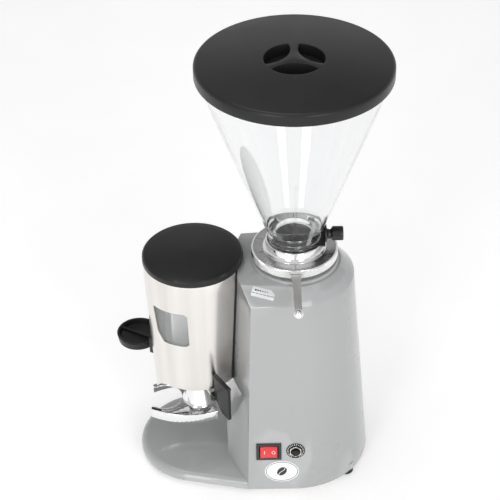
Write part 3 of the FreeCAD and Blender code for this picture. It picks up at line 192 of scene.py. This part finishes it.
INK = finish("dark_print", (0.02, 0.02, 0.022), (0.035, 0.035, 0.038), (0.4, 0.5), grain=900)
PALE_INK = finish("white_print", (0.8, 0.8, 0.8), (0.86, 0.86, 0.86), (0.4, 0.5), grain=900)
LEVER = finish("brushed_lever_steel", (0.80, 0.78, 0.76), (0.88, 0.865, 0.85), (0.34, 0.42), metal=0.9,
               blotch=40, grain=500, grain_stretch=(0.03, 1, 1), bump=0.05, depth=0.0001)
SHEET = finish("clear_window_sheet", (0.88, 0.9, 0.9), (0.93, 0.94, 0.94), (0.03, 0.06), blotch=20,
               grain=60, bump=0.03, depth=0.0002, Alpha=0.16)
CLEAR = finish("clear_plastic", (0.95, 0.953, 0.957), (0.97, 0.973, 0.976), (0.01, 0.025), blotch=4,
               grain=9, bump=0.10, depth=0.0012, Transmission_Weight=1.0, IOR=1.49)

SLOT_MATERIALS = {
    "body_paint": PAINT, "rubber": RUBBER, "sheet_steel": STEEL, "motor_steel": CAST,
    "copper": COPPER, "black_plastic": BLACK, "bezel_plastic": BEZEL, "red_plastic": RED,
    "white_label": WHITE, "silver_label": SILVER, "clear_plastic": CLEAR, "white_plastic": VANES,
    "chrome": CHROME, "machined_steel": MACHINED, "machined_aluminium": SATIN,
}


def dress(obj, material):
    obj.data.materials.clear()
    obj.data.materials.append(material)


def soften(obj, width, segments=3, angle=32):
    """Rounded, smooth-shaded edges on a CAD node."""
    weld = obj.modifiers.new("Weld", "WELD")
    weld.merge_threshold = 1e-6
    bevel = obj.modifiers.new("Edges", "BEVEL")
    bevel.width = width
    bevel.segments = segments
    bevel.limit_method = "ANGLE"
    bevel.angle_limit = math.radians(angle)
    bevel.harden_normals = True
    for polygon in obj.data.polygons:
        polygon.use_smooth = True


for part in frame["record"]["subparts"]:
    dress(NODES[part["node"]], SLOT_MATERIALS[part["material_slot"]])

def crowned(name, centre, slope):
    """Black plastic whose normals lean outward with the distance from a centre, like a low dome."""
    material = BLACK.copy()
    material.name = name
    tree = material.node_tree
    texture = tree.nodes.new("ShaderNodeTexCoord")
    offset = tree.nodes.new("ShaderNodeVectorMath")
    offset.operation = "SUBTRACT"
    offset.inputs[1].default_value = (*centre, 0)
    flat = tree.nodes.new("ShaderNodeVectorMath")
    flat.operation = "MULTIPLY"
    flat.inputs[1].default_value = (1, 1, 0)
    square = tree.nodes.new("ShaderNodeVectorMath")
    square.operation = "DOT_PRODUCT"
    height = tree.nodes.new("ShaderNodeMath")
    height.operation = "MULTIPLY"
    height.inputs[1].default_value = -slope
    dome = tree.nodes.new("ShaderNodeBump")
    dome.inputs["Distance"].default_value = 1.0
    tree.links.new(texture.outputs["Object"], offset.inputs[0])
    tree.links.new(offset.outputs["Vector"], flat.inputs[0])
    tree.links.new(flat.outputs["Vector"], square.inputs[0])
    tree.links.new(flat.outputs["Vector"], square.inputs[1])
    tree.links.new(square.outputs["Value"], height.inputs[0])
    tree.links.new(height.outputs["Value"], dome.inputs["Height"])
    grain = next(node for node in tree.nodes if node.type == "BUMP" and node != dome)
    tree.links.new(dome.outputs["Normal"], grain.inputs["Normal"])
    return material


NODE_MATERIALS = {"hopper_lid": crowned("crowned_hopper_lid", (0, 0), HOPPER_LID_CROWN),
                  "doser_lid": crowned("crowned_doser_lid", DOSER_CENTRE, DOSER_LID_CROWN),
                  "adjust_lever": LEVER, "doser_window": SHEET, "gate_knob": KNOB,
                  "dose_knob": KNOB}
for name, material in NODE_MATERIALS.items():
    dress(NODES[name], material)

EDGES = {"housing": 0.002, "fork": 0.0008, "tamper": 0.0008, "tamper_arm": 0.001,
         "doser_lever_paddle": 0.0012, "gate_knob": 0.001, "hopper_collar": 0.0005,
         "switch_bezel": 0.0006, "switch_rocker": 0.0005, "breaker_nut": 0.0004,
         "adjust_lever": 0.0006, "doser_shell": 0.0003}
for name, obj in NODES.items():
    soften(obj, EDGES.get(name, FINE_EDGE))

# ------------------------------------------------------------------ new pieces

def new_piece(name, mesh, material, body):
    obj = bpy.data.objects.new(name, mesh)
    SCENE.collection.objects.link(obj)
    dress(obj, material)
    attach(obj, body)
    return obj


def mesh_from(builder, name):
    """Mesh filled by a function that is given an empty bmesh."""
    mesh = bpy.data.meshes.new(name)
    build = bmesh.new()
    builder(build)
    bmesh.ops.remove_doubles(build, verts=build.verts, dist=1e-7)
    bmesh.ops.recalc_face_normals(build, faces=build.faces)
    build.to_mesh(mesh)
    build.free()
    return mesh


def lathe(build, profile, lines, depth):
    """Closed profile turned about Z; points marked True lose a depth on every second line."""
    rings = []
    for step in range(lines):
        angle = 2 * math.pi * step / lines
        ring = []
        for radius, z, knurled in profile:
            if knurled and step % 2:
                radius -= depth
            ring.append(build.verts.new((radius * math.cos(angle), radius * math.sin(angle), z)))
        rings.append(ring)
    count = len(profile)
    for step, ring in enumerate(rings):
        after = rings[(step + 1) % lines]
        for index in range(count):
            other = (index + 1) % count
            build.faces.new((ring[index], after[index], after[other], ring[other]))


def dial_profile():
    """Dial's outline: spigot, underside, knurled rim with two bevels, top and bore."""
    low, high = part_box("adjust_dial")
    radius, bottom, top = high[0], DIAL_UNDERSIDE * MM, high[2]
    bevel, soft = DIAL_BEVEL * MM, DIAL_SOFT * MM
    inner, outer = SPIGOT_INNER * MM, SPIGOT_OUTER * MM
    bore, floor = DIAL_BORE * MM, DIAL_FLOOR * MM
    return [(inner, low[2], False), (outer, low[2], False), (outer, bottom, False),
            (radius - 1.2 * MM, bottom, False), (radius - 0.3 * MM, bottom + 0.6 * MM, True),
            (radius, bottom + 1.2 * MM, True), (radius, top - bevel - soft, True),
            (radius - soft, top - bevel, True), (radius - bevel - 0.2 * MM, top - 0.2 * MM, False),
            (radius - bevel - 0.8 * MM, top, False), (bore + 0.5 * MM, top, False),
            (bore, top - 0.5 * MM, False), (bore, floor, False), (inner, floor, False)]


def graduated_dial(build):
    lathe(build, dial_profile(), KNURL_LINES, KNURL_DEPTH * MM)


DIAL = new_piece("graduated_dial", mesh_from(graduated_dial, "graduated_dial"), SATIN, "dial")
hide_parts("adjust_dial")


def face_frame(node, normal):
    """Frame on a node's outer face: X towards the rear, Y up the face, Z outward."""
    out = Vector(normal).normalized()
    across = (Vector((0, 1, 0)) - out * out.y).normalized()
    up = out.cross(across)
    points = [vertex.co for vertex in NODES[node].data.vertices]
    spans = []
    for axis in (across, up):
        values = [point.dot(axis) for point in points]
        spans.append((min(values) + max(values)) / 2)
    height = max(point.dot(out) for point in points)
    origin = across * spans[0] + up * spans[1] + out * height
    return Matrix((across, up, out)).transposed().to_4x4(), origin


def tree_of(obj):
    build = bmesh.new()
    build.from_mesh(obj.data)
    tree = BVHTree.FromBMesh(build)
    build.free()
    return tree


def printed(name, outlines, node, normal, material, body, thick=0.08, turn=0.0):
    """Thin raised print: outlines in millimetres laid on a node's face along its normal."""
    turning, origin = face_frame(node, normal)
    turning = turning @ Matrix.Rotation(math.radians(turn), 4, "Z")
    out = turning.to_3x3() @ Vector((0, 0, 1))
    surface = tree_of(NODES[node])

    def fill(build):
        for outline in outlines:
            low, high = [], []
            for x, y in outline:
                start = origin + turning @ Vector((x * MM, y * MM, PRINT_REACH * MM))
                hit = surface.ray_cast(start, -out)[0]
                if hit is None:
                    hit = start - out * PRINT_REACH * MM
                low.append(build.verts.new(hit - out * PRINT_SINK * MM))
                high.append(build.verts.new(hit + out * thick * MM))
            count = len(outline)
            build.faces.new(high)
            build.faces.new(low[::-1])
            for index in range(count):
                after = (index + 1) % count
                build.faces.new((low[index], low[after], high[after], high[index]))
    return new_piece(name, mesh_from(fill, name), material, body)


def bar(x, y, wide, tall):
    return [(x - wide / 2, y - tall / 2), (x + wide / 2, y - tall / 2),
            (x + wide / 2, y + tall / 2), (x - wide / 2, y + tall / 2)]


def ring_sectors(radius_x, radius_y, wide, count, shift=0):
    """Short quads that make up an oval ring."""
    quads = []
    for index in range(count):
        corners = []
        for grow, turn in ((0, index), (wide, index), (wide, index + 1), (0, index + 1)):
            angle = 2 * math.pi * turn / count
            corners.append(((radius_x - wide + grow) * math.cos(angle) + shift,
                            (radius_y - wide + grow) * math.sin(angle)))
        quads.append(corners)
    return quads


def bean_half(side, long=7.6, wide=5.6, gap=0.44, wave=0.88, steps=14):
    """Half of a coffee bean, with a wavy inner edge."""
    outer = [(side * wide * math.cos(math.pi * i / steps - math.pi / 2),
              long * math.sin(math.pi * i / steps - math.pi / 2)) for i in range(1, steps)]
    inner = [(side * gap + wave * math.sin(math.pi * y / long), y)
             for y in (long * (1 - 2 * i / steps) * 0.97 for i in range(steps + 1))]
    outline = outer + inner
    return outline if side > 0 else outline[::-1]


def radial_tick(angle, long):
    """Short bar that points away from the centre."""
    return [((TICK_RADIUS + u) * math.cos(angle) - v * math.sin(angle),
             (TICK_RADIUS + u) * math.sin(angle) + v * math.cos(angle))
            for u, v in bar(0, 0, long, TICK_WIDTH)]


WALL_OUT = next(j["axis"] for j in frame["record"]["behaviour"]["joints"] if j["name"] == "reset_press")
LABEL_OUT = (0.691, 0, 0.723)
BREAKER_TICKS = [radial_tick(math.radians(-60 + 300 * index / 21), 1.9 if index % 3 else 1.2)
                 for index in range(22)]
BOLD = [bar(-9 + 2.9 * index, 2.2, 2.1 - 0.16 * index, 2.2 - 0.25 * index) for index in range(6)]
FINE = [bar(-11 + 4.6 * index, -1.6, 3.8 - 0.3 * (index % 2), 0.7) for index in range(6)]

printed("oval_label_ring", ring_sectors(20.6, 15.6, 0.7, 72), "oval_label", WALL_OUT, INK, "stand")
printed("oval_label_bean", [bean_half(1), bean_half(-1)], "oval_label", WALL_OUT, INK, "stand",
        turn=-35)
printed("rocker_off_mark", ring_sectors(2.3, 2.8, 0.7, 24, shift=6), "switch_rocker", WALL_OUT, PALE_INK,
        "rocker", thick=0.05)
printed("rocker_on_mark", [bar(-5.5, 0, 0.8, 5.5)], "switch_rocker", WALL_OUT, PALE_INK, "rocker",
        thick=0.05)
printed("breaker_label_ticks", BREAKER_TICKS, "breaker_label", WALL_OUT, PALE_INK, "stand")
printed("rating_label_bars", BOLD + FINE, "rating_label", LABEL_OUT, INK, "stand",
        turn=-14.7)


def digit_mesh(digit):
    """Flat raised digit centred on the origin."""
    letter = bpy.data.curves.new("digit", "FONT")
    letter.body = str(digit)
    letter.size = NUMBER_SIZE * MM
    letter.align_x, letter.align_y = "CENTER", "CENTER"
    letter.extrude = MARK_HEIGHT * MM
    letter.resolution_u = 3
    holder = bpy.data.objects.new("digit", letter)
    SCENE.collection.objects.link(holder)
    flat = bpy.data.meshes.new_from_object(holder)
    bpy.data.objects.remove(holder)
    bpy.data.curves.remove(letter)
    return flat


def dial_marks(build):
    """Sixty graduations and the numbers 0 to 9 on the dial's top face."""
    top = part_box("adjust_dial")[1][2]
    for index in range(60):
        long, wide = (4.2, 0.5) if index % 6 == 0 else (2.4, 0.35)
        place = Matrix.Rotation(2 * math.pi * index / 60, 4, "Z")
        place = place @ Matrix.Translation(((TICK_END - long / 2) * MM, 0, top))
        size = Matrix.Diagonal((long * MM, wide * MM, 2 * MARK_HEIGHT * MM, 1))
        bmesh.ops.create_cube(build, size=1.0, matrix=place @ size)
    for digit in range(10):
        flat = digit_mesh(digit)
        place = Matrix.Rotation(2 * math.pi * digit / 10, 4, "Z")
        place = place @ Matrix.Translation((NUMBER_RADIUS * MM, 0, top))
        flat.transform(place @ Matrix.Rotation(math.radians(90), 4, "Z"))
        build.from_mesh(flat)
        bpy.data.meshes.remove(flat)


new_piece("dial_marks", mesh_from(dial_marks, "dial_marks"), INK, "dial")


def hopper_face(z):
    """Radius of the hopper's outside near its foot, in millimetres."""
    if z > CONE_FOOT_Z:
        return CONE_FOOT_RADIUS + (z - CONE_FOOT_Z) * CONE_SLOPE
    return CONE_FOOT_RADIUS - (CONE_FOOT_Z - z) * NECK_SLOPE


def hopper_rib(build):
    """Moulded rib up the near side of the cone's foot."""
    turn = Matrix.Rotation(math.radians(RIB_ANGLE), 4, "Z")
    sections = []
    for index in range(9):
        z = RIB_LOW_Z + (RIB_HIGH_Z - RIB_LOW_Z) * index / 8
        lift = RIB_LIFT * math.sin(math.pi * (0.12 + 0.83 * index / 8)) ** 0.5
        section = []
        for share in range(7):
            angle = math.pi * share / 6
            out = hopper_face(z) - RIB_SINK + math.sin(angle) * lift
            across = math.cos(angle) * RIB_HALF_WIDTH
            section.append(build.verts.new(turn @ Vector((out * MM, across * MM, z * MM))))
        sections.append(section)
    for low, high in zip(sections, sections[1:]):
        for index in range(6):
            build.faces.new((low[index], low[index + 1], high[index + 1], high[index]))
        build.faces.new((low[6], low[0], high[0], high[6]))
    build.faces.new(sections[0])
    build.faces.new(sections[-1][::-1])


RIB = new_piece("hopper_rib", mesh_from(hopper_rib, "hopper_rib"), SHEET, "bean_hopper")
for polygon in RIB.data.polygons:
    polygon.use_smooth = True

# ------------------------------------------------------------------ stage, light and camera

floor_mesh = bpy.data.meshes.new("floor")
floor_mesh.from_pydata([(-6, -6, 0), (6, -6, 0), (6, 6, 0), (-6, 6, 0)], [], [(0, 1, 2, 3)])
floor = bpy.data.objects.new("floor", floor_mesh)
SCENE.collection.objects.link(floor)
dress(floor, finish("pale_floor", (0.87, 0.87, 0.87), (0.89, 0.89, 0.89), (0.6, 0.7),
                    Emission_Color=(1, 1, 1, 1), Emission_Strength=FLOOR_GLOW))


def lamp(name, place, target, size, power):
    data = bpy.data.lights.new(name, "AREA")
    data.shape = "RECTANGLE"
    data.size, data.size_y = size
    data.energy = power
    obj = bpy.data.objects.new(name, data)
    SCENE.collection.objects.link(obj)
    obj.location = place
    obj.rotation_euler = (Vector(target) - Vector(place)).to_track_quat("-Z", "Y").to_euler()
    return obj


def studio_walls(tree):
    """Even white studio with a dark band high on the far side."""
    texture = tree.nodes.new("ShaderNodeTexCoord")
    split = tree.nodes.new("ShaderNodeSeparateXYZ")
    tree.links.new(texture.outputs["Generated"], split.inputs["Vector"])
    levels = []
    for axis, low, high in (("Z", 0.68, 0.34), ("Z", 0.8, 0.95), ("X", -0.3, 0.3)):
        step = tree.nodes.new("ShaderNodeMapRange")
        step.interpolation_type = "SMOOTHSTEP"
        step.inputs["From Min"].default_value = low
        step.inputs["From Max"].default_value = high
        tree.links.new(split.outputs[axis], step.inputs["Value"])
        levels.append(step.outputs["Result"])
    level = levels[0]
    for other in levels[1:]:
        brighter = tree.nodes.new("ShaderNodeMath")
        brighter.operation = "MAXIMUM"
        tree.links.new(level, brighter.inputs[0])
        tree.links.new(other, brighter.inputs[1])
        level = brighter.outputs[0]
    strength = tree.nodes.new("ShaderNodeMapRange")
    strength.inputs["To Min"].default_value = WORLD_LIGHT * FAR_WALL
    strength.inputs["To Max"].default_value = WORLD_LIGHT
    tree.links.new(level, strength.inputs["Value"])
    tree.links.new(strength.outputs["Result"], tree.nodes["Background"].inputs["Strength"])
    tree.nodes["Background"].inputs["Color"].default_value = (1, 1, 1, 1)


MIDDLE = (0, 0, 0.35)
lamp("softbox_front", (2.2, -1.05, 1.2), MIDDLE, (0.75, 1.7), 17)
lamp("softbox_rear", (2.2, 1.0, 1.2), MIDDLE, (0.7, 1.7), 15)
lamp("top", (-0.3, -0.3, 2.4), (0, 0, 0.2), (1.2, 1.2), 10)
world = bpy.data.worlds.new("studio")
SCENE.world = world
world.use_nodes = True
studio_walls(world.node_tree)
SCENE.view_settings.view_transform = "Standard"

camera = bpy.data.objects.new("camera", bpy.data.cameras.new("camera"))
SCENE.collection.objects.link(camera)
SCENE.camera = camera
camera.location = (1.4347, -0.0351, 1.4084)
forward = Vector((-math.cos(TURN) * math.cos(PITCH), math.sin(TURN) * math.cos(PITCH), -math.sin(PITCH)))
camera.rotation_mode = "QUATERNION"
camera.rotation_quaternion = forward.to_track_quat("-Z", "Y")
camera.data.lens = 106.22
camera.data.shift_x = -0.0889
camera.data.clip_start = 0.01
